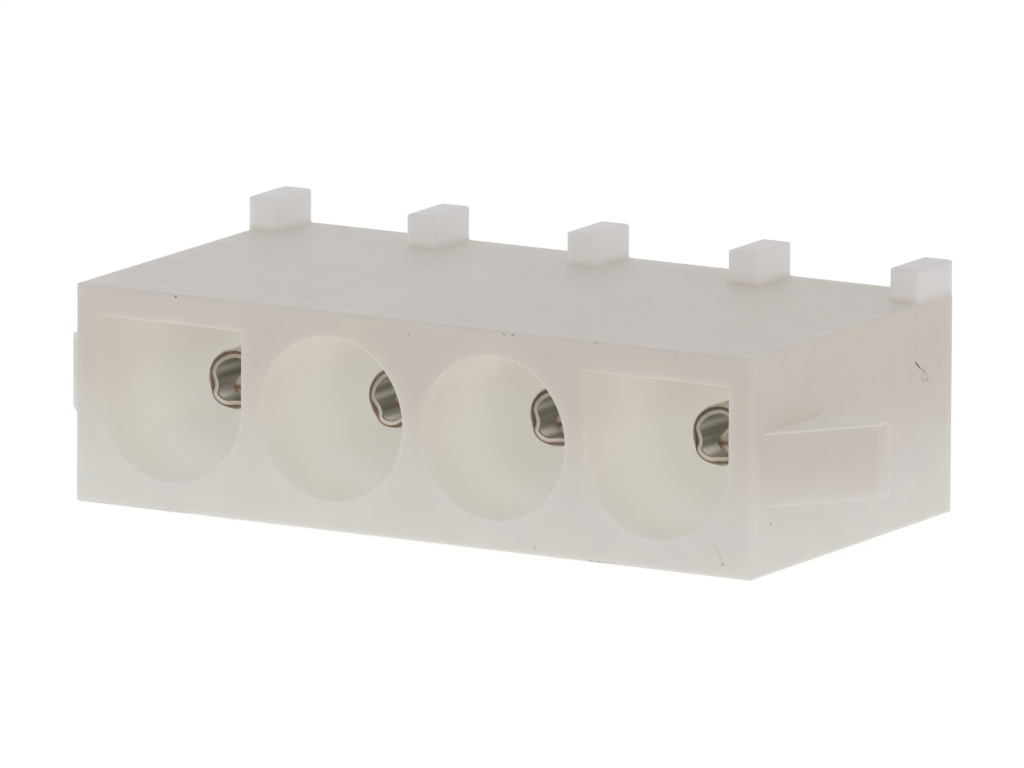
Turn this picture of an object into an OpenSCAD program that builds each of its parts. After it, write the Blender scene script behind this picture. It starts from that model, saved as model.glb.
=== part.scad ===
// Four-position, single-row pin header for wire to board use.
// One moulded nylon housing with a silo round each pin, and four rolled tube contacts.
// Millimetres. X runs along the row, Y from the mating face to the solder tails, Z is up.
// The origin is in the middle of the outline, on the flat bottom face.

/* [Row] */
// Distance between the centres of neighbouring contacts
pitch = 6.35; // [6:0.05:9]
// Plastic beyond the last whole pitch, at each end of the row
end_margin = 0.57; // [0.3:0.01:2]

/* [Housing] */
// Depth from the mating face to the board face
body_d = 13.97; // [13:0.01:20]
// Height of the block, without the ribs
body_h = 7.62; // [7.3:0.01:10]
// Radius on all outer edges of the block
edge_r = 0.16; // [0.05:0.01:0.3]

/* [Silos] */
// Inside diameter of each silo
silo_d = 5.6; // [4.2:0.05:5.7]
// Depth of each silo from the mating face
silo_depth = 10.6; // [8:0.1:11]
// Height of the silo centres above the middle of the block
silo_rise = 0.09; // [0:0.01:0.3]
// Height of the flat roof of the two keyed end silos above their centre
key_rise = 2.66; // [2.2:0.01:2.75]
// Width of the bevel round each silo mouth
mouth_bevel = 0.05; // [0.03:0.01:0.15]

/* [Ribs] */
// Width of each rib along the row
rib_w = 1.2; // [0.8:0.05:2]
// Depth of each rib, forward from the board face
rib_d = 2.45; // [1.5:0.05:5]
// Height of each rib above the block
rib_h = 1.18; // [0.6:0.02:2]
// Radius on the edges of each rib
rib_r = 0.2; // [0.05:0.01:0.35]
// Radius of the fillet along the foot of each rib
rib_fillet = 0.15; // [0.05:0.01:0.3]

/* [Latch ramps] */
// Distance from the mating face to the foot of each ramp
ramp_start = 0.7; // [0.3:0.05:2]
// Length of the slope, from its foot to the crest
ramp_run = 3.4; // [2:0.05:5]
// Length of the flat crest behind the slope
ramp_crest = 0.9; // [0.7:0.05:2]
// How far the crest stands out from the end face
ramp_rise = 2.55; // [1:0.05:3]
// Height of the ramp, from its lower to its upper side
ramp_h = 2.55; // [1.5:0.05:4]
// Height of the lower side of the ramp above the bottom face
ramp_z = 2.4; // [1:0.05:3]
// Radius on the upper and lower rear corners of the crest
ramp_r = 0.3; // [0.1:0.01:0.5]

/* [Contacts] */
// Outside diameter of the rolled pin
pin_d = 2.1; // [2:0.05:2.6]
// Thickness of the rolled strip
strip_t = 0.22; // [0.15:0.01:0.24]
// Distance from the mating face back to the tip of each pin
tip_depth = 4.2; // [2:0.05:6]
// Length of the pinched nose, from its rim back to the full round
nose_l = 0.22; // [0.1:0.02:0.8]
// Width of the gap along the rolled seam
seam_w = 0.08; // [0.04:0.01:0.2]
// Turn of each contact about its axis, in degrees, seen from the mating face
contact_turn = [0, 20, 0, 0];
// Diameter of the shank held in the housing, behind the pin's shoulder
shank_d = 1.75; // [1.6:0.05:1.9]
// Diameter of the solder tail
tail_d = 1.4; // [0.8:0.05:1.5]
// Length of the solder tail behind the board face
tail_l = 3.8; // [2:0.1:6]
// Bevel at the end of the solder tail
tail_bevel = 0.25; // [0.05:0.05:0.35]
// Clearance round each contact where it passes through the housing
fit_gap = 0.02; // [0.01:0.01:0.06]

/* [Hidden] */
$fn = 64;

poles = 4;
body_w = poles * pitch + 2 * end_margin;
overall_d = body_d + tail_l;
silo_r = silo_d / 2;
silo_z = body_h / 2 + silo_rise; // the contacts share the silos' centres
pin_r = pin_d / 2;
tail_r = tail_d / 2;
shank_r = shank_d / 2;
nylon = [0.80, 0.77, 0.72];
tinned_brass = [0.62, 0.60, 0.55];
cut_over = 0.5; // how far a cut runs past the face it opens

// The pinched nose. Each row is one place round the strip: its angle on the round tube,
// then where it lies on the rim, across and up, in radii of the strip's middle line.
// The right side is folded in to the middle along the seam, the left side is creased.
nose_shape = [
    [42, 0.73, 0.64], [70, 0.33, 0.93], [98, -0.12, 0.90], [126, -0.50, 0.71],
    [148, -0.73, 0.47], [163, -0.82, 0.24], [174, -0.78, 0.06], [185, -0.71, -0.13],
    [197, -0.70, -0.33], [208, -0.76, -0.50], [218, -0.74, -0.64],
    [228, -0.63, -0.76], [240, -0.45, -0.86], [254, -0.21, -0.90],
    [276, 0.08, -0.86], [294, 0.34, -0.84], [308, 0.58, -0.76], [323, 0.60, -0.56],
    [333, 0.41, -0.42], [342, 0.24, -0.36], [353, 0.15, -0.19], [367, 0.25, -0.01],
    [385, 0.56, 0.32]];
nose_steps = 4;   // rings between the rim and the round tube
row_steps = 3;    // points between two rows of the shape
seam_angle = 353; // where the strip's two edges meet
weld_lap = 0.01;  // how far the nose lies inside the tube's skin where they join
weld_l = 0.06;    // how far the nose reaches into the tube
seam_lead = 0.12; // where the open seam starts behind the nose
heading_step = 0.05; // spacing of the two points that give the strip's heading, in rows
rib_sunk = 3 * rib_r; // how far a rib's foot reaches into the block
shoulder_t = 2 * strip_t; // thickness of the shoulder that closes the tube's bore

function pole_x(i) = (i - (poles + 1) / 2) * pitch;
function is_keyed(i) = i == 1 || i == poles;

// A point on the smooth closed curve through the rows of the nose shape.
// Angles run on past a full turn, so that the curve closes without a jump.
function shape_row(i) = let (n = len(nose_shape), r = nose_shape[(i + n) % n])
    [r[0] + 360 * floor(i / n), r[1], r[2]];
function spline(p, q, r, s, t) = 0.5 * (2 * q + (r - p) * t
    + (2 * p - 5 * q + 4 * r - s) * t * t + (3 * q - p - 3 * r + s) * t * t * t);
function shape_at(u) = let (i = floor(u), t = u - i)
    spline(shape_row(i - 1), shape_row(i), shape_row(i + 1), shape_row(i + 2), t);

// The strip's middle line at ring s, from 0 on the rim to 1 on the round tube.
function mid_point(u, s) = let (row = shape_at(u), m = pin_r - strip_t / 2,
        ease = (1 - cos(180 * s)) / 2, on_tube = [cos(row[0]), sin(row[0])])
    m * (ease * on_tube + (1 - ease) * [row[1], row[2]]);
// One wall of the strip: side 1 is the outer skin and side -1 the bore.
function wall_point(u, s, side, lap) = let (
        ahead = mid_point(u + heading_step, s) - mid_point(u - heading_step, s),
        out = [ahead[1], -ahead[0]] / norm(ahead))
    mid_point(u, s) + side * (strip_t / 2 - lap) * out;

module rounded_rect(w, h, r) {
    square([w - 2 * r, h], center = true);
    square([w, h - 2 * r], center = true);
    for (x = [-1, 1], y = [-1, 1])
        translate([x * (w / 2 - r), y * (h / 2 - r)]) circle(r);
}

// A block centred on the origin with every edge rounded: three rounded prisms in common.
module rounded_block(w, d, h, r) {
    intersection() {
        linear_extrude(h, center = true) rounded_rect(w, d, r);
        rotate([90, 0, 0]) linear_extrude(d, center = true) rounded_rect(w, h, r);
        rotate([90, 0, 90]) linear_extrude(w, center = true) rounded_rect(d, h, r);
    }
}

// A round bar along Y, from y0 to y1.
module bar(r, y0, y1, r_end = undef) {
    translate([0, y0, 0]) rotate([-90, 0, 0])
        cylinder(h = y1 - y0, r1 = r, r2 = is_undef(r_end) ? r : r_end);
}

// Concave fillet, with its corner on the origin and its length centred along Y.
// It runs on into both walls of the corner, so that it is one with them.
module foot_fillet(length) {
    rotate([90, 0, 0]) linear_extrude(length, center = true) difference() {
        square(2 * rib_fillet, center = true);
        translate([rib_fillet, rib_fillet]) circle(rib_fillet);
    }
}

// One rib, its foot sunk into the block. inner_side is 0 for both sides free,
// or the sign of the one side that faces along the block.
module rib(inner_side) {
    translate([0, body_d - rib_d / 2, body_h + (rib_h - rib_sunk) / 2])
        rounded_block(rib_w, rib_d, rib_h + rib_sunk, rib_r);
    flat_l = rib_d - 2 * rib_r;
    for (side = [-1, 1]) if (inner_side == 0 || inner_side == side)
        translate([side * rib_w / 2, body_d - rib_d / 2, body_h])
            mirror([side < 0 ? 1 : 0, 0, 0]) foot_fillet(flat_l);
    translate([0, body_d - rib_d, body_h])
        rotate([0, 0, -90]) foot_fillet(rib_w - 2 * rib_r);
}

module ribs() {
    for (i = [0 : poles]) {
        flush_x = body_w / 2 - rib_w / 2;
        x = i == 0 ? -flush_x : i == poles ? flush_x : (i - poles / 2) * pitch;
        translate([x, 0, 0]) rib(i == 0 ? 1 : i == poles ? -1 : 0);
    }
}

// Latch ramp on the right end: a slope, a flat crest and a square drop behind it.
module ramp() {
    root = 2 * edge_r;
    rear = ramp_start + ramp_run + ramp_crest;
    intersection() {
        translate([body_w / 2, 0, ramp_z]) linear_extrude(ramp_h) polygon([
            [-root, ramp_start], [0, ramp_start], [ramp_rise, ramp_start + ramp_run],
            [ramp_rise, rear], [-root, rear]]);
        translate([body_w / 2, rear / 2, ramp_z + ramp_h / 2]) rotate([90, 0, 90])
            linear_extrude(2 * (ramp_rise + root), center = true)
                rounded_rect(rear, ramp_h, ramp_r);
    }
}

// Upper half of a keyed silo, wider by the bevel at the mouth.
module key_slot() {
    w = silo_r + mouth_bevel + cut_over;
    h = key_rise + mouth_bevel + cut_over;
    translate([-silo_r, -cut_over, 0]) cube([silo_d, silo_depth + cut_over, key_rise]);
    intersection() {
        linear_extrude(h) polygon([[-w, -cut_over], [w, -cut_over],
            [silo_r, mouth_bevel], [-silo_r, mouth_bevel]]);
        rotate([90, 0, 90]) linear_extrude(2 * w, center = true)
            polygon([[-cut_over, 0], [mouth_bevel, 0], [mouth_bevel, key_rise], [-cut_over, h]]);
    }
}

module silo(keyed) {
    bar(silo_r, -cut_over, silo_depth);
    bar(silo_r + mouth_bevel + cut_over, -cut_over, mouth_bevel, silo_r);
    if (keyed) key_slot();
}

// Hole that holds a contact's shank; the silo floor round it is the shoulder's seat.
module contact_hole() {
    bar(shank_r + fit_gap, silo_depth - cut_over, body_d + cut_over);
}

module in_frame() {
    translate([0, -overall_d / 2, 0]) children();
}

module housing() {
    color(nylon) in_frame() difference() {
        union() {
            translate([0, body_d / 2, body_h / 2]) rounded_block(body_w, body_d, body_h, edge_r);
            ribs();
            ramp();
            mirror([1, 0, 0]) ramp();
        }
        for (i = [1 : poles]) {
            translate([pole_x(i), 0, silo_z]) silo(is_keyed(i));
            translate([pole_x(i), 0, silo_z]) contact_hole();
        }
    }
}

// The nose is lofted from the pinched rim to the round tube, both walls together.
module nose() {
    n = len(nose_shape) * row_steps;
    last = nose_steps + 1;
    rings = [for (k = [0 : last]) let (s = min(k / nose_steps, 1),
        y = k > nose_steps ? nose_l + weld_l : nose_l * s, lap = s * weld_lap) [y, s, lap]];
    skin = function (side) [for (ring = rings, j = [0 : n - 1])
        let (p = wall_point(j / row_steps, ring[1], side, ring[2])) [p[0], ring[0], p[1]]];
    at = function (wall, k, j) (wall * (last + 1) + k) * n + j % n;
    polyhedron(
        points = concat(skin(-1), skin(1)),
        faces = concat(
            [for (k = [0 : last - 1], j = [0 : n - 1])
                [at(0, k, j), at(0, k + 1, j), at(0, k + 1, j + 1), at(0, k, j + 1)]],
            [for (k = [0 : last - 1], j = [0 : n - 1])
                [at(1, k, j), at(1, k, j + 1), at(1, k + 1, j + 1), at(1, k + 1, j)]],
            [for (j = [0 : n - 1]) [at(0, 0, j), at(0, 0, j + 1), at(1, 0, j + 1), at(1, 0, j)]],
            [for (j = [0 : n - 1])
                [at(0, last, j), at(1, last, j), at(1, last, j + 1), at(0, last, j + 1)]]));
}

// One rolled contact: nose, seamed tube down to its shoulder, shank and solder tail.
module contact(i) {
    tube_y = tip_depth + nose_l;
    bore_end = silo_depth - shoulder_t;
    seam_y = tube_y + seam_lead;
    color(tinned_brass) in_frame()
        translate([pole_x(i), 0, silo_z]) rotate([0, -contact_turn[i - 1], 0]) {
            translate([0, tip_depth, 0]) nose();
            difference() {
                union() {
                    bar(pin_r, tube_y, silo_depth);
                    bar(shank_r, silo_depth - strip_t, body_d);
                    bar(tail_r, body_d - strip_t, overall_d - tail_bevel);
                    bar(tail_r, overall_d - tail_bevel, overall_d, tail_r - tail_bevel);
                }
                bar(pin_r - strip_t, tube_y - cut_over, bore_end);
                rotate([0, -seam_angle, 0]) translate([0, seam_y, -seam_w / 2])
                    cube([pin_d, bore_end - seam_y, seam_w]);
            }
        }
}

housing();
contact(1);  // contact_1
contact(2);  // contact_2
contact(3);  // contact_3
contact(4);  // contact_4
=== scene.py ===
import math

import bmesh
import bpy
from mathutils import Matrix, Vector


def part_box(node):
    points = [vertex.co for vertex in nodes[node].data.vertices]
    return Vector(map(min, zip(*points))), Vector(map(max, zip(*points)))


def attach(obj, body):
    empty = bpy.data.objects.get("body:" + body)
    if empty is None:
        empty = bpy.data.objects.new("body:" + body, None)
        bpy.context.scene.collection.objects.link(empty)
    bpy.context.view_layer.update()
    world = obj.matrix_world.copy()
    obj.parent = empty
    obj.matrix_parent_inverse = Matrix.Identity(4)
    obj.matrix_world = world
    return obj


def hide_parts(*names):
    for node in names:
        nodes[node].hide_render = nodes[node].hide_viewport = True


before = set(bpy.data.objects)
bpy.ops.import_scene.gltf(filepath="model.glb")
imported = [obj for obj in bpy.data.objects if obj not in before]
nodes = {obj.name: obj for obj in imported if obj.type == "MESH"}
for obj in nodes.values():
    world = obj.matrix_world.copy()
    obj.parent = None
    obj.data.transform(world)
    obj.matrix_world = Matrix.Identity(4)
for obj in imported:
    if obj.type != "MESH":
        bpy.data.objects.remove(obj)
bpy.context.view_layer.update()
mm = 0.001
scene = bpy.context.scene
scene.view_settings.view_transform = "Standard"
housingLow, housingHigh = (Vector(v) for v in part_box("housing"))
print("frame loaded")


# camera: a long lens, right of the mating face and a little above it
camera = {
    "aim": (0.316, -2.586, 4.419),  # mm
    "turn": 29.90,                  # degrees to the right of the mating face
    "height": 11.03,                # degrees above level
    "roll": 0.296,                  # degrees
    "distance": 786.8,              # mm
    "lens": 810.8,                  # mm
    "sensor": 36,                   # mm
    "nearest": 10,                  # mm
}


def placeCamera(values):
    turn, height, roll = (math.radians(values[k]) for k in ("turn", "height", "roll"))
    flat = math.cos(height)
    forward = Vector((-math.sin(turn) * flat, math.cos(turn) * flat, -math.sin(height)))
    level = Vector((math.cos(turn), math.sin(turn), 0))
    right = level * math.cos(roll) + level.cross(forward) * math.sin(roll)
    up = right.cross(forward)
    data = bpy.data.cameras.new("camera")
    data.lens = values["lens"]
    data.sensor_width = values["sensor"]
    data.clip_start = values["nearest"] * mm
    cam = bpy.data.objects.new("camera", data)
    scene.collection.objects.link(cam)
    place = Matrix((right, up, -forward)).transposed().to_4x4()
    place.translation = Vector(values["aim"]) * mm - forward * values["distance"] * mm
    cam.matrix_world = place
    scene.camera = cam


placeCamera(camera)
print("camera placed")


# node helpers shared by all materials
class Shader:
    def __init__(self, name):
        self.material = bpy.data.materials.new(name)
        self.material.use_nodes = True
        self.nodes = self.material.node_tree.nodes
        self.links = self.material.node_tree.links
        self.nodes.clear()
        self.output = self.add("ShaderNodeOutputMaterial")

    def add(self, kind, **settings):
        node = self.nodes.new(kind)
        for key, value in settings.items():
            setattr(node, key, value)
        return node

    def join(self, source, target):
        self.links.new(source, target)

    def value(self, source, target):
        if isinstance(source, bpy.types.NodeSocket):
            self.links.new(source, target)
        else:
            target.default_value = source

    def object(self):
        return self.add("ShaderNodeTexCoord").outputs["Object"]

    def attribute(self, name):
        return self.add("ShaderNodeAttribute", attribute_name=name).outputs["Fac"]

    def noise(self, scale, detail, stretch=(1, 1, 1)):
        place = self.add("ShaderNodeMapping")
        place.inputs["Scale"].default_value = stretch
        self.join(self.object(), place.inputs["Vector"])
        node = self.add("ShaderNodeTexNoise")
        node.inputs["Scale"].default_value = scale
        node.inputs["Detail"].default_value = detail
        self.join(place.outputs["Vector"], node.inputs["Vector"])
        return node.outputs["Fac"]

    def ramp(self, source, low, high, outLow=0.0, outHigh=1.0):
        node = self.add("ShaderNodeMapRange", interpolation_type="SMOOTHSTEP")
        limits = {"From Min": low, "From Max": high, "To Min": outLow, "To Max": outHigh}
        for key, item in limits.items():
            node.inputs[key].default_value = item
        self.join(source, node.inputs["Value"])
        return node.outputs["Result"]

    # noise spread from low to high
    def pattern(self, scale, detail, low, high, stretch=(1, 1, 1), out=(0.0, 1.0)):
        return self.ramp(self.noise(scale, detail, stretch), low, high, *out)

    def math(self, operation, first, second):
        node = self.add("ShaderNodeMath", operation=operation)
        self.value(first, node.inputs[0])
        self.value(second, node.inputs[1])
        return node.outputs[0]

    def vector(self, operation, first, second):
        node = self.add("ShaderNodeVectorMath", operation=operation)
        self.value(first, node.inputs[0])
        self.value(second, node.inputs["Scale" if operation == "SCALE" else 1])
        return node.outputs["Value" if operation in ("DISTANCE", "DOT_PRODUCT") else "Vector"]

    def mix(self, amount, first, second, blend="MIX"):
        node = self.add("ShaderNodeMix", data_type="RGBA", blend_type=blend)
        self.value(amount, node.inputs["Factor"])
        for item, socket in ((first, node.inputs[6]), (second, node.inputs[7])):
            if isinstance(item, tuple):
                socket.default_value = (*item, 1)
            else:
                self.join(item, socket)
        return node.outputs[2]

    # height in mm
    def bump(self, scale, detail, height, strength, stretch=(1, 1, 1), normal=None):
        node = self.add("ShaderNodeBump")
        node.inputs["Distance"].default_value = height * mm
        node.inputs["Strength"].default_value = strength
        self.join(self.noise(scale, detail, stretch), node.inputs["Height"])
        if normal:
            self.join(normal, node.inputs["Normal"])
        return node.outputs["Normal"]

    def principled(self, **inputs):
        node = self.add("ShaderNodeBsdfPrincipled")
        for key, item in inputs.items():
            self.value(item, node.inputs[key])
        return node

    # soft light passes on through the surface, as through a thin milky wall
    def letThrough(self, bsdf, share, tint):
        path = self.add("ShaderNodeLightPath")
        soft = self.math("MAXIMUM", path.outputs["Is Shadow Ray"], path.outputs["Is Diffuse Ray"])
        clear = self.add("ShaderNodeBsdfTransparent")
        clear.inputs["Color"].default_value = (*tint, 1)
        blend = self.add("ShaderNodeMixShader")
        self.join(self.math("MULTIPLY", soft, share), blend.inputs[0])
        self.join(bsdf.outputs[0], blend.inputs[1])
        self.join(clear.outputs[0], blend.inputs[2])
        self.join(blend.outputs[0], self.output.inputs["Surface"])


# closed skin through rings of points: put(loop, *ring) places one ring's vertices
def loft(bm, count, rings, put):
    start = list(bmesh.ops.create_circle(bm, cap_ends=False, radius=mm, segments=count)["verts"])
    loop = start
    put(loop, *rings[0])
    for ring in rings[1:]:
        edges = [bm.edges.get((a, b)) for a, b in zip(loop, loop[1:] + loop[:1])]
        made = bmesh.ops.extrude_edge_only(bm, edges=edges)["geom"]
        fresh = {v for v in made if isinstance(v, bmesh.types.BMVert)}
        loop = [next(e.other_vert(v) for e in v.link_edges if e.other_vert(v) in fresh) for v in loop]
        put(loop, *ring)
    for end in (start, loop):
        edges = [bm.edges.get((a, b)) for a, b in zip(end, end[1:] + end[:1])]
        bmesh.ops.contextual_create(bm, geom=edges)
    bmesh.ops.recalc_face_normals(bm, faces=bm.faces)


def finishPiece(bm, name, finish, sharp=50):
    mesh = bpy.data.meshes.new(name)
    bm.to_mesh(mesh)
    bm.free()
    mesh.shade_smooth()
    mesh.set_sharp_from_angle(angle=math.radians(sharp))
    piece = bpy.data.objects.new(mesh.name, mesh)
    scene.collection.objects.link(piece)
    mesh.materials.append(finish)
    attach(piece, "root")
    return piece


# row of axes that the silos and the contacts share
row = {
    "poles": 4,
    "pitch": 6.35,   # mm
    "height": 3.90,  # of the axes above the bottom face
}


def axisAt(values, number):
    x = (number - (values["poles"] + 1) / 2) * values["pitch"] * mm
    return Vector((x, housingLow.y, housingLow.z + values["height"] * mm))


# nylon: milky, so light passes through its walls and the silos glow; the silo walls' colour also holds
# painted light
nylon = {
    "warm": (0.78, 0.765, 0.718),
    "pink": (0.79, 0.755, 0.738),
    "mottle": (0.82, 0.81, 0.75),
    "mottled": 0.35,
    "mouth": (0.87, 0.85, 0.81),     # painted light on the silo walls near their mouths
    "silo": (0.985, 0.985, 0.955),   # and more painted light deeper in
    "upper": (0.865, 0.825, 0.80),   # painted shade: the upper part is a little darker and warmer
    "right": (0.962, 0.95, 0.94),    # painted shade too: the right end is a little darker and warmer
    "ribs": (0.79, 0.765, 0.765),
    "shelfLight": (0.82, 0.79, 0.76),     # painted light: the upper side of the latch ramps is lightened against its shade
    # where these tones set in, in mm
    "upperFrom": (0.8, 5.5),
    "ribsFrom": (7.45, 7.95),
    "shelfOut": (13.27, 13.3),
    "shelfUp": (4.88, 4.94),
    # patterns: scale, detail, from, to
    "cloud": (140, 2, 0.35, 0.65),
    "mottling": (900, 4, 0.3, 0.7),
    "grain": (1500, 3, 0.3, 0.7),
    # bumps: scale, detail, height in mm, strength
    "fine": (5200, 3, 0.004, 0.5),
    "coarse": (420, 2, 0.03, 0.35),
    "roughness": (0.45, 0.56),
    "gloss": 0.3,
    "refraction": 1.5,
    "radius": (1.0, 0.92, 0.8),
    "milky": 0.3,
    "depth": 1.5,                    # mm that light travels inside
    "passing": 0.94,                 # share of soft light that a wall lets through
    "passed": (0.99, 0.985, 0.96),
    "dirt": (0.20, 0.16, 0.12),
    "core": 0.4,                     # share of a mark's radius that is full dirt
    # specks of dirt: place in mm, radius in mm, strength
    "specks": [
        ((-10.57, -8.88, 6.41), 0.06, 0.40), ((-0.12, -8.88, 7.13), 0.06, 0.45),
        ((3.95, -8.88, 7.52), 0.06, 0.6), ((7.17, -8.85, 7.60), 0.09, 0.4),
        ((4.56, -8.88, 6.31), 0.06, 0.3), ((10.33, -8.88, 7.43), 0.08, 0.2),
        ((4.87, -8.88, 0.30), 0.09, 0.25), ((12.15, -8.88, 0.48), 0.08, 0.4),
        ((-9.3, -8.88, 7.52), 0.07, 0.8), ((13.27, -8.36, 1.76), 0.06, 0.45),
        ((13.27, -7.57, 1.75), 0.08, 0.5), ((15.41, -4.5, 4.95), 0.09, 0.35),
        ((6.99, -8.82, 0.03), 0.09, 0.7), ((7.36, -8.84, 0.06), 0.07, 0.6)],
    # fibres and scuffs: two ends in mm, half width in mm, strength
    "threads": [
        ((3.53, -8.88, 7.58), (3.64, -8.88, 7.49), 0.04, 0.5),
        ((7.05, -8.83, 0.04), (7.95, -8.85, 0.09), 0.04, 0.35),
        ((11.81, -8.88, 1.19), (11.97, -8.88, 0.89), 0.05, 0.12),
        ((11.97, -8.88, 0.89), (12.13, -8.88, 0.6), 0.05, 0.15),
        ((13.27, 2.42, 5.64), (13.27, 2.72, 5.42), 0.055, 0.95),
        ((13.27, 2.72, 5.42), (13.27, 3.01, 5.25), 0.03, 0.7),
        ((13.27, 3.01, 5.25), (13.27, 2.84, 5.03), 0.022, 0.6),
        ((13.27, 2.84, 5.03), (13.27, 3.05, 4.90), 0.022, 0.6),
        ((13.27, 3.05, 4.90), (13.27, 3.29, 4.89), 0.022, 0.6),
        ((13.27, 3.29, 4.89), (13.27, 3.08, 5.24), 0.022, 0.6),
        ((13.27, 3.01, 5.25), (13.27, 3.03, 5.5), 0.03, 0.3),
        ((13.27, 2.5, 6.0), (13.27, 2.5, 8.7), 0.05, 0.05)],
}

# where the silo walls get painted light, in mm
silos = {
    "reach": 2.83,  # across, from the axis
    "low": 1.05,    # above the bottom face
    "high": 6.71,
    "depth": 10.7,  # behind the mating face
    "mouth": 4,     # over which the mouth's painted light turns into the silo's
    "edge": 0.02,   # softness of the mask's sides
    "fade": 0.1,    # and of its ends
}


def near(s, start, end, radius, strength, core):
    place = s.object()
    if end:
        way = Vector(end) - Vector(start)
        away = s.vector("SUBTRACT", place, Vector(start) * mm)
        share = s.math("MULTIPLY", s.vector("DOT_PRODUCT", away, way), 1 / (way.length_squared * mm))
        share = s.math("MINIMUM", s.math("MAXIMUM", share, 0), 1)
        along = s.vector("SCALE", way * mm, share)
        gap = s.vector("DISTANCE", away, along)
    else:
        gap = s.vector("DISTANCE", place, Vector(start) * mm)
    return s.ramp(gap, radius * core * mm, radius * mm, strength, 0)


def siloMask(s, values, pitch, x, y, z):
    reach, low, high, depth, edge, fade = (
        values[k] * mm for k in ("reach", "low", "high", "depth", "edge", "fade"))
    front = housingLow.y + edge
    floor = housingLow.y + depth
    wrapped = s.math("FLOORED_MODULO", s.math("ADD", x, 2 * pitch), pitch)
    across = s.math("ABSOLUTE", s.math("SUBTRACT", wrapped, pitch / 2), 0)
    mask = s.ramp(across, reach, reach + edge, 1, 0)
    parts = [
        s.ramp(z, low - edge, low), s.ramp(z, high, high + edge, 1, 0),
        s.ramp(y, front, front + fade), s.ramp(y, floor, floor + fade, 1, 0),
        s.ramp(s.math("ABSOLUTE", x, 0), 2 * pitch, 2 * pitch + fade, 1, 0)]
    for part in parts:
        mask = s.math("MULTIPLY", mask, part)
    return mask


def makeNylon(values):
    s = Shader("natural nylon")
    place = s.add("ShaderNodeSeparateXYZ")
    s.join(s.object(), place.inputs[0])
    x, y, z = place.outputs
    colour = s.mix(s.pattern(*values["cloud"]), values["warm"], values["pink"])
    mottle = s.math("MULTIPLY", s.pattern(*values["mottling"]), values["mottled"])
    colour = s.mix(mottle, colour, values["mottle"])
    # painted light: the silo walls are coloured lighter than the outside, most of all deep in
    inside = siloMask(s, silos, row["pitch"] * mm, x, y, z)
    deep = s.ramp(y, housingLow.y, housingLow.y + silos["mouth"] * mm)
    colour = s.mix(inside, colour, s.mix(deep, values["mouth"], values["silo"]))
    upper, ribs, out, up = (
        [v * mm for v in values[k]] for k in ("upperFrom", "ribsFrom", "shelfOut", "shelfUp"))
    # painted shade: darker and warmer towards the top
    colour = s.mix(s.ramp(z, *upper), colour, values["upper"], "MULTIPLY")
    colour = s.mix(s.ramp(z, *ribs), colour, values["ribs"])
    # painted light on the latch ramps' upper side
    shelfLight = s.math("MULTIPLY", s.ramp(s.math("ABSOLUTE", x, 0), *out), s.ramp(z, *up))
    colour = s.mix(shelfLight, colour, values["shelfLight"])
    # painted shade: darker towards the right end
    colour = s.mix(s.ramp(x, housingLow.x, housingHigh.x), colour, values["right"], "MULTIPLY")
    marks = [(start, None, radius, strength) for start, radius, strength in values["specks"]]
    dirt = 0.0
    for mark in marks + values["threads"]:
        dirt = s.math("MAXIMUM", near(s, *mark, values["core"]), dirt)
    colour = s.mix(dirt, colour, values["dirt"])
    skin = s.bump(*values["coarse"], normal=s.bump(*values["fine"]))
    rough = s.pattern(*values["grain"], out=values["roughness"])
    bsdf = s.principled(**{"Base Color": colour, "Roughness": rough, "Normal": skin})
    bsdf.inputs["Subsurface Weight"].default_value = values["milky"]
    bsdf.inputs["Subsurface Radius"].default_value = values["radius"]
    bsdf.inputs["Subsurface Scale"].default_value = values["depth"] * mm
    bsdf.inputs["IOR"].default_value = values["refraction"]
    bsdf.inputs["Specular IOR Level"].default_value = values["gloss"]
    s.letThrough(bsdf, values["passing"], values["passed"])
    return s.material


nylonSkin = makeNylon(nylon)
nodes["housing"].data.materials.clear()
nodes["housing"].data.materials.append(nylonSkin)
print("nylon made")


# flat roof of each keyed silo: a thin cap over the top of its round cut
roof = {
    "poles": {"left": 1, "right": 4},
    "radius": 2.8,    # mm, of the round cut
    "flat": 2.66,     # the roof above the axis
    "bevel": 0.05,
    "depth": 10.6,
    "behind": 0.001,  # the cap's front, behind the mating face
    "sink": 0.012,    # how far the cap reaches into the wall behind it
    "points": 12,
}


def roofRing(values, y, grow):
    flat, reach = values["flat"] + grow, values["radius"] + grow
    half = math.acos(flat / reach)
    count = values["points"]
    angles = [math.pi / 2 + half * (2 * k / (count - 1) - 1) for k in range(count)]
    reach += values["sink"]
    ring = [(reach * math.cos(a), y, reach * math.sin(a)) for a in angles]
    ring[0] = (ring[0][0], y, flat)
    ring[-1] = (ring[-1][0], y, flat)
    return (ring,)


def makeRoof(values, side, finish):
    axis = axisAt(row, values["poles"][side])
    bm = bmesh.new()

    def put(loop, points):
        for vert, point in zip(loop, points):
            vert.co = axis + Vector(point) * mm

    bevel = values["bevel"]
    ends = ((values["behind"], bevel), (bevel, 0), (values["depth"], 0))
    loft(bm, values["points"], [roofRing(values, y, grow) for y, grow in ends], put)
    finishPiece(bm, "siloRoof_" + side, finish)


for side in roof["poles"]:
    makeRoof(roof, side, nylonSkin)
print("roofs capped")


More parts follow.
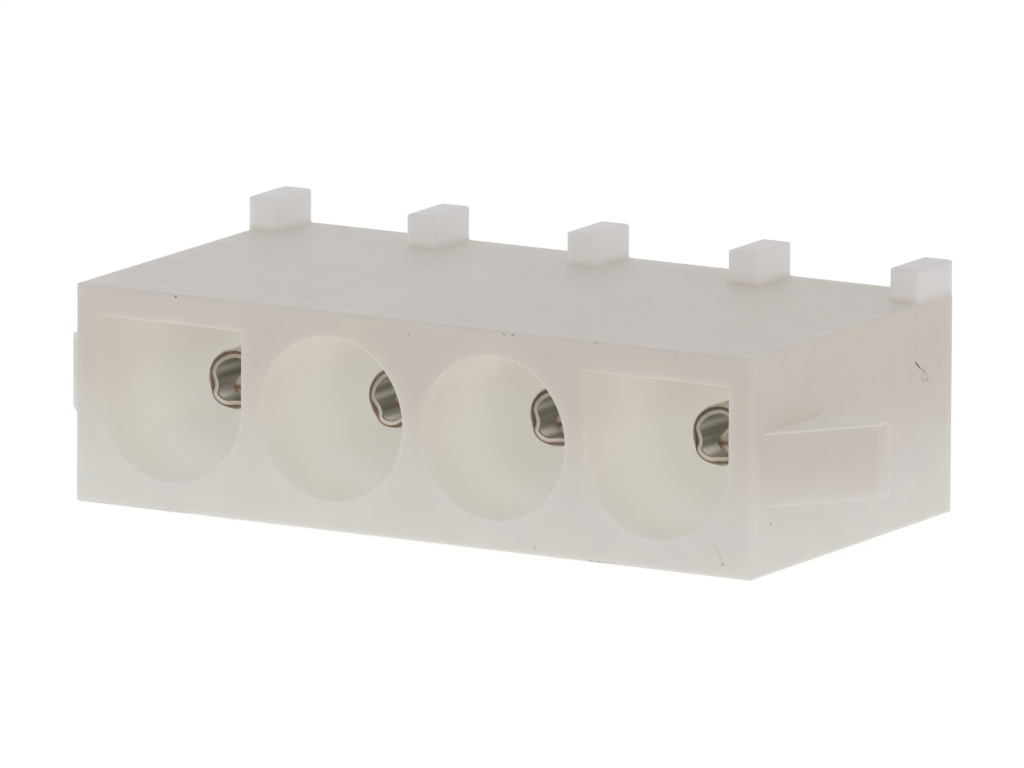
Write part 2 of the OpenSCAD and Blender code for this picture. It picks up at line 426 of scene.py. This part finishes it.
# contacts: strip rolled into a tube, its nose pinched flat along the seam
contact = {
    "radius": 1.05,            # mm, outside of the tube
    "strip": 0.22,
    "nose": 0.22,              # length of the pinched nose
    "bore": 6.18,              # tube length from the nose to its shoulder
    "boreEnd": (0.35, 0.1),    # radius of the flat at the bore's end, bevel round it
    "shoulder": (0.04, 0.02),  # bevel of the shoulder: in from the radius, along the tube
    "shank": (0.875, 3.37),    # radius, length
    "tail": (0.7, 3.8),
    "tailBevel": 0.25,
    "burr": 0.09,              # rounding of the strip's outer cut edge
    "lip": 0.03,               # rounding of its inner cut edge
    "lipMiddle": 0.3,          # share of the lip where it is halfway round
    "turn": {"contact_2": 20},
    # angle on the round tube, then across and up on the rim, in radii of the strip's middle
    "pinch": [
        (42, 0.73, 0.64), (70, 0.33, 0.93), (98, -0.12, 0.90), (126, -0.50, 0.71),
        (148, -0.73, 0.47), (163, -0.82, 0.24), (174, -0.78, 0.06), (185, -0.71, -0.13),
        (197, -0.70, -0.33), (208, -0.76, -0.50), (218, -0.74, -0.64), (228, -0.63, -0.76),
        (240, -0.45, -0.86), (254, -0.21, -0.90), (276, 0.08, -0.86), (294, 0.34, -0.84),
        (308, 0.58, -0.76), (323, 0.60, -0.56), (333, 0.41, -0.42), (342, 0.24, -0.36),
        (353, 0.15, -0.19), (367, 0.25, -0.01), (385, 0.56, 0.32)],
    "grain": 6,                # points between two rows of the pinch
    "step": 0.05,              # of a row, over which the strip's direction is taken
    # rings: count along the nose inside and outside, round the burr, then distances in mm
    "noseRings": 8,
    "skinRings": 5,
    "burrRings": 6,
    "boreRings": (4, 3, 2.4, 1.9, 1.5, 1.2, 0.95, 0.75, 0.55, 0.4, 0.25, 0.12),
    "tubeRings": (0.2, 2),
    "tubeMiddle": 0.6,         # share of the way to the shoulder
    "beforeShoulder": 0.06,
    "tailRing": 1.5,
    # bare brass: angle, half width, length of the crease on the left and of the fold at the seam
    "crease": (188, 20, 0.14),
    "fold": (350, 15, 0.16),
    "valley": 28,              # half width of the pale hollow round the fold
    "faceFold": 0.9,           # how bare the cut face is at the fold
    # cut edge and cut face: least, more at an angle, that angle, half width
    "edgeBare": (0.85, 0.15, 180, 45),
    "facePale": (0.2, 0.8, 240, 50),
    "hollowPale": 0.5,
    # painted reflections streaked along the bore: angle, half width, strength, length in mm
    "boreReflections": [(166, 9, 0.45, 3.0), (229, 12, 1.0, 1.4), (128, 8, 0.22, 3.0), (262, 12, 0.25, 1.0)],
    "rimShade": (0.06, 0.08),  # dark line inside the rim: depth, half width
}


def pinchRow(values, index):
    rows = values["pinch"]
    angle, across, up = rows[index % len(rows)]
    return Vector((angle + 360 * (index // len(rows)), across, up))


def pinchAt(values, place):
    index = math.floor(place)
    t = place - index
    p, q, r, s = (pinchRow(values, index + k) for k in (-1, 0, 1, 2))
    bend = 2 * p - 5 * q + 4 * r - s
    twist = 3 * q - p - 3 * r + s
    return 0.5 * (2 * q + (r - p) * t + bend * t * t + twist * t ** 3)


def stripMiddle(values, place, share):
    pinched = pinchAt(values, place)
    angle = math.radians(pinched.x)
    ease = (1 - math.cos(math.pi * share)) / 2
    middle = values["radius"] - values["strip"] / 2
    whole = Vector((math.cos(angle), math.sin(angle)))
    return middle * (ease * whole + (1 - ease) * Vector((pinched.y, pinched.z)))


def stripWall(values, place, share, side, inward):
    step = values["step"]
    ahead = stripMiddle(values, place + step, share) - stripMiddle(values, place - step, share)
    out = Vector((ahead.y, -ahead.x)).normalized()
    return stripMiddle(values, place, share) + side * (values["strip"] / 2 - inward) * out


# every ring of the contact, from the end of its bore, round the rim, to the end of its tail
def contactRings(values):
    places = [k / values["grain"] for k in range(len(values["pinch"]) * values["grain"])]
    angles = [pinchAt(values, place).x for place in places]
    nose, strip, burr, lip, radius = (values[k] for k in ("nose", "strip", "burr", "lip", "radius"))
    boreFlat, boreBevel = values["boreEnd"]
    bevelIn, bevelAlong = values["shoulder"]
    shankRadius, shankLength = values["shank"]
    tailRadius, tailLength = values["tail"]
    tailBevel = values["tailBevel"]
    shoulder = nose + values["bore"]
    boreEnd = shoulder - 2 * strip
    shankEnd = shoulder + shankLength
    tailEnd = shankEnd + tailLength
    inner = radius - strip

    def plain(size, y):
        return [(size * math.cos(math.radians(a)), y, size * math.sin(math.radians(a))) for a in angles]

    def wall(y, side, inward=0.0):
        points = [stripWall(values, place, y / nose, side, inward) for place in places]
        return [(p.x, y, p.y) for p in points]

    bores = [plain(boreFlat, boreEnd), plain(inner - boreBevel, boreEnd), plain(inner, boreEnd - boreBevel)]
    bores += [plain(inner, nose + y) for y in values["boreRings"]]
    noseRings = values["noseRings"]
    bores += [wall(nose * k / noseRings, -1) for k in range(noseRings, 1, -1)]
    bores.append(wall(lip, -1))
    middle = lip * values["lipMiddle"]
    faces = [wall(middle, -1, middle), wall(0, -1, lip)]
    edges = []
    for step in range(values["burrRings"]):
        angle = math.pi / 2 * step / (values["burrRings"] - 1)
        edges.append(wall(burr * (1 - math.cos(angle)), 1, burr * (1 - math.sin(angle))))
    faces.append(edges.pop(0))
    skinRings = values["skinRings"]
    skins = [wall(burr + (nose - burr) * k / skinRings, 1) for k in range(1, skinRings + 1)]
    tube = [nose + y for y in values["tubeRings"]] + [shoulder * values["tubeMiddle"]]
    tube += [shoulder - values["beforeShoulder"], shoulder - bevelAlong]
    skins += [plain(radius, y) for y in tube]
    skins += [plain(radius - bevelIn, shoulder), plain(shankRadius, shoulder)]
    skins += [plain(shankRadius, shankEnd), plain(tailRadius, shankEnd)]
    skins += [plain(tailRadius, y) for y in (shankEnd + values["tailRing"], tailEnd - tailBevel)]
    skins.append(plain(tailRadius - tailBevel, tailEnd))
    kinds = (("bore", bores), ("face", faces), ("edge", edges), ("skin", skins))
    return angles, [(kind, points) for kind, loops in kinds for points in loops]


def bell(distance, width):
    return math.exp(-(distance / width) ** 2)


# how bare, how pale and how shaded inside the strip is at one point, and its rim's paleness and its bore's
# painted reflections
def finishAt(values, kind, angle, depth):
    def bared(key):
        at, width, length = values[key]
        return bell(angle - at, width) * bell(depth, length)

    def risen(key):
        least, more, at, width = values[key]
        return least + more * bell(angle - at, width)

    fold = bared("fold")
    if kind == "edge":
        valley = bell(angle - values["fold"][0], values["valley"])
        return max(fold, risen("edgeBare") * (1 - valley)), valley, 0.0, values["hollowPale"]
    if kind == "face":
        return fold * values["faceFold"], 1.0, 0.0, risen("facePale")
    if kind == "skin":
        return bared("crease"), 0.0, 0.0, 0.0
    # painted reflections streaked along the bore, less in a line of painted shade just inside the rim
    rimPaleAndReflection = sum(
        power * bell(angle - at, width) * bell(depth, length)
        for at, width, power, length in values["boreReflections"])
    shadeAt, shadeWidth = values["rimShade"]
    return fold, 0.0, 1.0, min(1.0, rimPaleAndReflection) * (1 - bell(depth - shadeAt, shadeWidth))


def makeContact(values, name, finish):
    axis = axisAt(row, int(name.split("_")[1]))
    axis.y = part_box(name)[0][1]
    turn = Matrix.Rotation(-math.radians(values["turn"].get(name, 0)), 4, "Y")
    angles, rings = contactRings(values)
    bm = bmesh.new()
    layers = [bm.verts.layers.float.new(key) for key in ("bare", "pale", "inside", "rimPaleAndReflection")]

    def put(loop, kind, points):
        for vert, point, angle in zip(loop, points, angles):
            vert.co = Vector(point) * mm
            for layer, item in zip(layers, finishAt(values, kind, angle, point[1])):
                vert[layer] = item

    loft(bm, len(angles), rings, put)
    bmesh.ops.transform(bm, matrix=Matrix.Translation(axis) @ turn, verts=bm.verts)
    piece = finishPiece(bm, name.replace("contact", "rolledContact"), finish)
    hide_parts(name)


tin = {
    "tin": (0.62, 0.59, 0.51),
    "shade": (0.44, 0.42, 0.35),
    "rimDark": (0.37, 0.34, 0.28),
    "rimPale": (0.68, 0.62, 0.54),
    # painted shade in the bore, and painted reflections streaked along it
    "boreShade": (0.21, 0.193, 0.15),
    "boreReflection": (0.86, 0.82, 0.75),
    "brass": (0.06, 0.035, 0.018),
    "brassWarm": (0.17, 0.085, 0.042),
    # patterns: scale, detail, from, to, stretch
    "drawn": (4200, 3, 0.3, 0.7, (1, 0.05, 1)),
    "cloud": (700, 3, 0.35, 0.65),
    "grain": (3000, 3, 0.3, 0.7),
    "skin": (2500, 3, 0.006, 0.6, (1, 0.15, 1)),  # scale, detail, height in mm, strength, stretch
    "drawnShare": 0.22,
    "rimCloud": (0.7, 1),
    "bareDull": 0.8,
    "metal": (1.0, 0.15),  # bright outside, dull in the bore and where bare
    "roughness": (0.28, 0.42),
    "gloss": 0.3,
    "passing": 0.8,        # share of soft light that reaches the bore
}


def makeTin(values):
    s = Shader("tinned brass")
    drawn = s.pattern(*values["drawn"])
    cloud = s.pattern(*values["cloud"])
    # painted shade and painted reflections make the bore's colour; the same attribute also sets how pale
    # the rim is
    rimPaleAndReflection = s.math("ADD", s.attribute("rimPaleAndReflection"), s.math("MULTIPLY", drawn, values["drawnShare"]))
    inside = s.mix(rimPaleAndReflection, values["boreShade"], values["boreReflection"])
    paleness = s.math("MULTIPLY", s.attribute("rimPaleAndReflection"), s.ramp(cloud, 0, 1, *values["rimCloud"]))
    rim = s.mix(paleness, values["rimDark"], values["rimPale"])
    colour = s.mix(drawn, values["shade"], values["tin"])
    colour = s.mix(s.attribute("inside"), colour, inside)
    colour = s.mix(s.attribute("pale"), colour, rim)
    bare = s.mix(cloud, values["brass"], values["brassWarm"])
    colour = s.mix(s.attribute("bare"), colour, bare)
    rough = s.pattern(*values["grain"], out=values["roughness"])
    dull = s.math("MULTIPLY", s.attribute("bare"), values["bareDull"])
    metal = s.ramp(s.math("MAXIMUM", s.attribute("inside"), dull), 0, 1, *values["metal"])
    skin = s.bump(*values["skin"])
    bsdf = s.principled(**{"Base Color": colour, "Metallic": metal, "Roughness": rough, "Normal": skin})
    bsdf.inputs["Specular IOR Level"].default_value = values["gloss"]
    s.letThrough(bsdf, values["passing"], (1, 1, 1))
    return s.material


tinPlate = makeTin(tin)
for name in sorted(n for n in nodes if n.startswith("contact")):
    makeContact(contact, name, tinPlate)
print("contacts rolled")


# floor and light
studio = {
    "middle": (0, 0, 4),      # mm, where the lamps point
    "world": 0.66,
    "floor": (0.86, 0.86, 0.86),
    "floorHalf": 1500,        # mm
    "floorShade": 0.985,
    "floorCloud": (30, 3, 0.3, 0.7),
    "glow": 1.45,
    "glowShare": (0.405, 0.5),  # of the floor's light: for other rays, for the camera
    "lamps": [                # place in mm, size in mm, watts
        ((-120, 260, 260), 260, 0.03),
        ((260, 60, 220), 220, 0.03),
    ],
}


def makeFloor(values):
    mesh = bpy.data.meshes.new("floor")
    bm = bmesh.new()
    bmesh.ops.create_grid(bm, x_segments=1, y_segments=1, size=values["floorHalf"] * mm)
    bm.to_mesh(mesh)
    bm.free()
    floor = bpy.data.objects.new("floor", mesh)
    scene.collection.objects.link(floor)
    s = Shader("pale floor")
    paper = s.add("ShaderNodeBsdfDiffuse")
    shaded = tuple(v * values["floorShade"] for v in values["floor"])
    s.join(s.mix(s.pattern(*values["floorCloud"]), values["floor"], shaded), paper.inputs["Color"])
    glow = s.add("ShaderNodeEmission")
    glow.inputs["Strength"].default_value = values["glow"]
    path = s.add("ShaderNodeLightPath")
    blend = s.add("ShaderNodeMixShader")
    s.join(s.ramp(path.outputs["Is Camera Ray"], 0, 1, *values["glowShare"]), blend.inputs[0])
    s.join(paper.outputs[0], blend.inputs[1])
    s.join(glow.outputs[0], blend.inputs[2])
    s.join(blend.outputs[0], s.output.inputs["Surface"])
    mesh.materials.append(s.material)


# plain light from all round; camera, gloss and clear rays see white
def makeWorld(values):
    world = bpy.data.worlds.new("studio")
    world.use_nodes = True
    scene.world = world
    tree = world.node_tree
    tree.nodes.clear()
    out = tree.nodes.new("ShaderNodeOutputWorld")
    back = tree.nodes.new("ShaderNodeBackground")
    path = tree.nodes.new("ShaderNodeLightPath")
    tree.links.new(back.outputs[0], out.inputs["Surface"])
    seen = path.outputs["Is Camera Ray"]
    for name in ("Is Glossy Ray", "Is Transmission Ray"):
        larger = tree.nodes.new("ShaderNodeMath")
        larger.operation = "MAXIMUM"
        tree.links.new(seen, larger.inputs[0])
        tree.links.new(path.outputs[name], larger.inputs[1])
        seen = larger.outputs[0]
    level = tree.nodes.new("ShaderNodeMapRange")
    level.inputs["To Min"].default_value = values["world"]
    level.inputs["To Max"].default_value = 1.0
    tree.links.new(seen, level.inputs["Value"])
    tree.links.new(level.outputs["Result"], back.inputs["Strength"])
    back.inputs["Color"].default_value = (1, 1, 1, 1)


def makeLamps(values):
    middle = Vector(values["middle"]) * mm
    for index, (place, size, power) in enumerate(values["lamps"]):
        light = bpy.data.lights.new("softbox%d" % (index + 1), "AREA")
        light.size = size * mm
        light.energy = power
        lamp = bpy.data.objects.new(light.name, light)
        scene.collection.objects.link(lamp)
        lamp.location = Vector(place) * mm
        lamp.rotation_euler = (middle - lamp.location).to_track_quat("-Z", "Y").to_euler()


makeFloor(studio)
makeWorld(studio)
makeLamps(studio)
print("studio lit")
